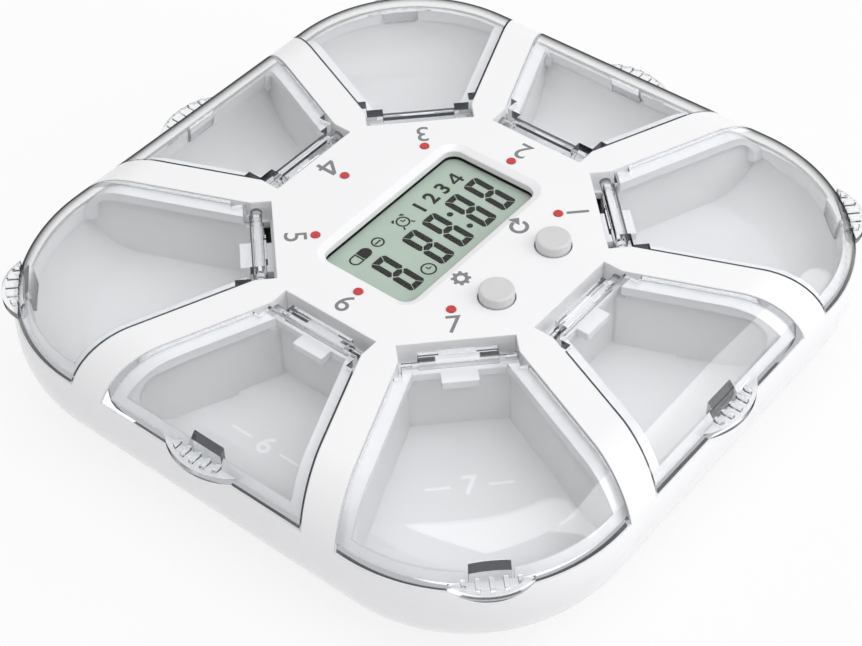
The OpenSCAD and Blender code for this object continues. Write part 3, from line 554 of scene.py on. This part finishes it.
# Pale numbers between short bars on the floors of the two nearest cups; sizes in mm
cupFloor = 1.3  # thickness of a cup's floor
floorLift = 0.008
floorPrint = dict(z=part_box("pill_cup_6")[0].z / mm + cupFloor + floorLift, thick=0.02,
                  height=4.4, radius=48.5, barL=4.5, barX=5.6, barW=0.5, bold=0.08)
floorInk = ("paleInk", "housing", "cup_plastic")
for number in (6, 7):
    place = radialPlace(number, floorPrint["radius"], floorPrint["z"] * mm)
    figure = textCurve("floor", str(number), floorPrint["height"], floorPrint["thick"],
                       floorPrint["bold"])
    placePiece(solidFrom(figure, "floorNumber%d" % number, *floorInk), place)
    bars = [bar(side * (floorPrint["barX"] - floorPrint["barL"] / 2), 0,
                side * (floorPrint["barX"] + floorPrint["barL"] / 2), 0, floorPrint["barW"])
            for side in (-1, 1)]
    placePiece(solidFrom(flatCurve("bars", bars, floorPrint["thick"]), "floorBars%d" % number,
                         *floorInk), place)
print("printing done")

# Camera at the photograph's angle; right, up and back are its own axes
view = dict(at=(-0.20692, -0.17202, 0.27466), right=(0.62743, -0.77837, -0.02143),
            up=(0.56050, 0.43236, 0.70632), back=(-0.54052, -0.45518, 0.70756),
            lens=82.57, sensor=36, nearClip=0.01)
cameraData = bpy.data.cameras.new("camera")
cameraData.sensor_width = view["sensor"]
cameraData.lens = view["lens"]
cameraData.clip_start = view["nearClip"]
camera = bpy.data.objects.new("camera", cameraData)
bpy.context.scene.collection.objects.link(camera)
turn = Matrix((view["right"], view["up"], view["back"])).transposed()
camera.matrix_world = Matrix.Translation(view["at"]) @ turn.to_4x4()
bpy.context.scene.camera = camera

# White table and room: whiteShare is how much of the plain white the table shows
room = dict(table="F2F2F3", tableSize=3.0, tableDrop=0.0001, fleckMm=25, whiteShare=0.82,
            ambient="FFFFFF", ambientStrength=0.62)


def seenRays(tree):
    # 1 for rays that show the background: straight, through clear parts or in reflections
    path = addNode(tree, "ShaderNodeLightPath")
    direct = addNode(tree, "ShaderNodeMath", {"operation": "MAXIMUM"},
                     {0: (path, "Is Camera Ray"), 1: (path, "Is Transmission Ray")})
    return addNode(tree, "ShaderNodeMath", {"operation": "MAXIMUM"},
                   {0: (direct, "Value"), 1: (path, "Is Glossy Ray")})


def tableSurface(tree):
    place = addNode(tree, "ShaderNodeTexCoord")
    fleck = addNode(tree, "ShaderNodeTexNoise", {"Scale": 1000 / room["fleckMm"]},
                    {"Vector": (place, "Object")})
    rough = addNode(tree, "ShaderNodeMapRange", {"To Min": 0.8, "To Max": 0.9},
                    {"Value": (fleck, "Fac")})
    paper = addNode(tree, "ShaderNodeBsdfDiffuse", {"Color": fromHex(room["table"])},
                    {"Roughness": (rough, "Result")})
    white = addNode(tree, "ShaderNodeEmission", {"Strength": 1.0})
    share = addNode(tree, "ShaderNodeMath", {"operation": "MULTIPLY", 1: room["whiteShare"]},
                    {0: (seenRays(tree), "Value")})
    both = addNode(tree, "ShaderNodeMixShader",
                   links={0: (share, "Value"), 1: (paper, "BSDF"), 2: (white, "Emission")})
    return both, "Shader"


tableMesh = bpy.data.meshes.new("table")
half = room["tableSize"] / 2
tableMesh.from_pydata([(-half, -half, 0), (half, -half, 0), (half, half, 0), (-half, half, 0)],
                      [], [(0, 1, 2, 3)])
table = bpy.data.objects.new("table", tableMesh)
bpy.context.scene.collection.objects.link(table)
tableMesh.materials.append(newMaterial("paperTable", tableSurface))
table.location.z = -room["tableDrop"]

world = bpy.data.worlds.new("room")
bpy.context.scene.world = world
world.use_nodes = True
world.node_tree.nodes.clear()
air = world.node_tree
dim = addNode(air, "ShaderNodeBackground",
              {"Color": fromHex(room["ambient"]), "Strength": room["ambientStrength"]})
bright = addNode(air, "ShaderNodeBackground", {"Color": (1, 1, 1, 1), "Strength": 1.0})
both = addNode(air, "ShaderNodeMixShader",
               links={0: (seenRays(air), "Value"), 1: (dim, "Background"),
                      2: (bright, "Background")})
addNode(air, "ShaderNodeOutputWorld", links={"Surface": (both, "Shader")})

# Two square softboxes aimed at the middle of the table
lamps = [
    dict(name="keySoftbox", at=(-0.05, -0.30, 1.00), size=0.9, power=3.7),
    dict(name="fillSoftbox", at=(0.35, -0.60, 0.40), size=0.6, power=2.0),
]
for lamp in lamps:
    data = bpy.data.lights.new(lamp["name"], "AREA")
    data.size = lamp["size"]
    data.energy = lamp["power"]
    light = bpy.data.objects.new(lamp["name"], data)
    bpy.context.scene.collection.objects.link(light)
    light.location = lamp["at"]
    light.rotation_euler = (-Vector(lamp["at"])).to_track_quat("-Z", "Y").to_euler()
bpy.context.scene.view_settings.view_transform = "Standard"
print("studio ready")
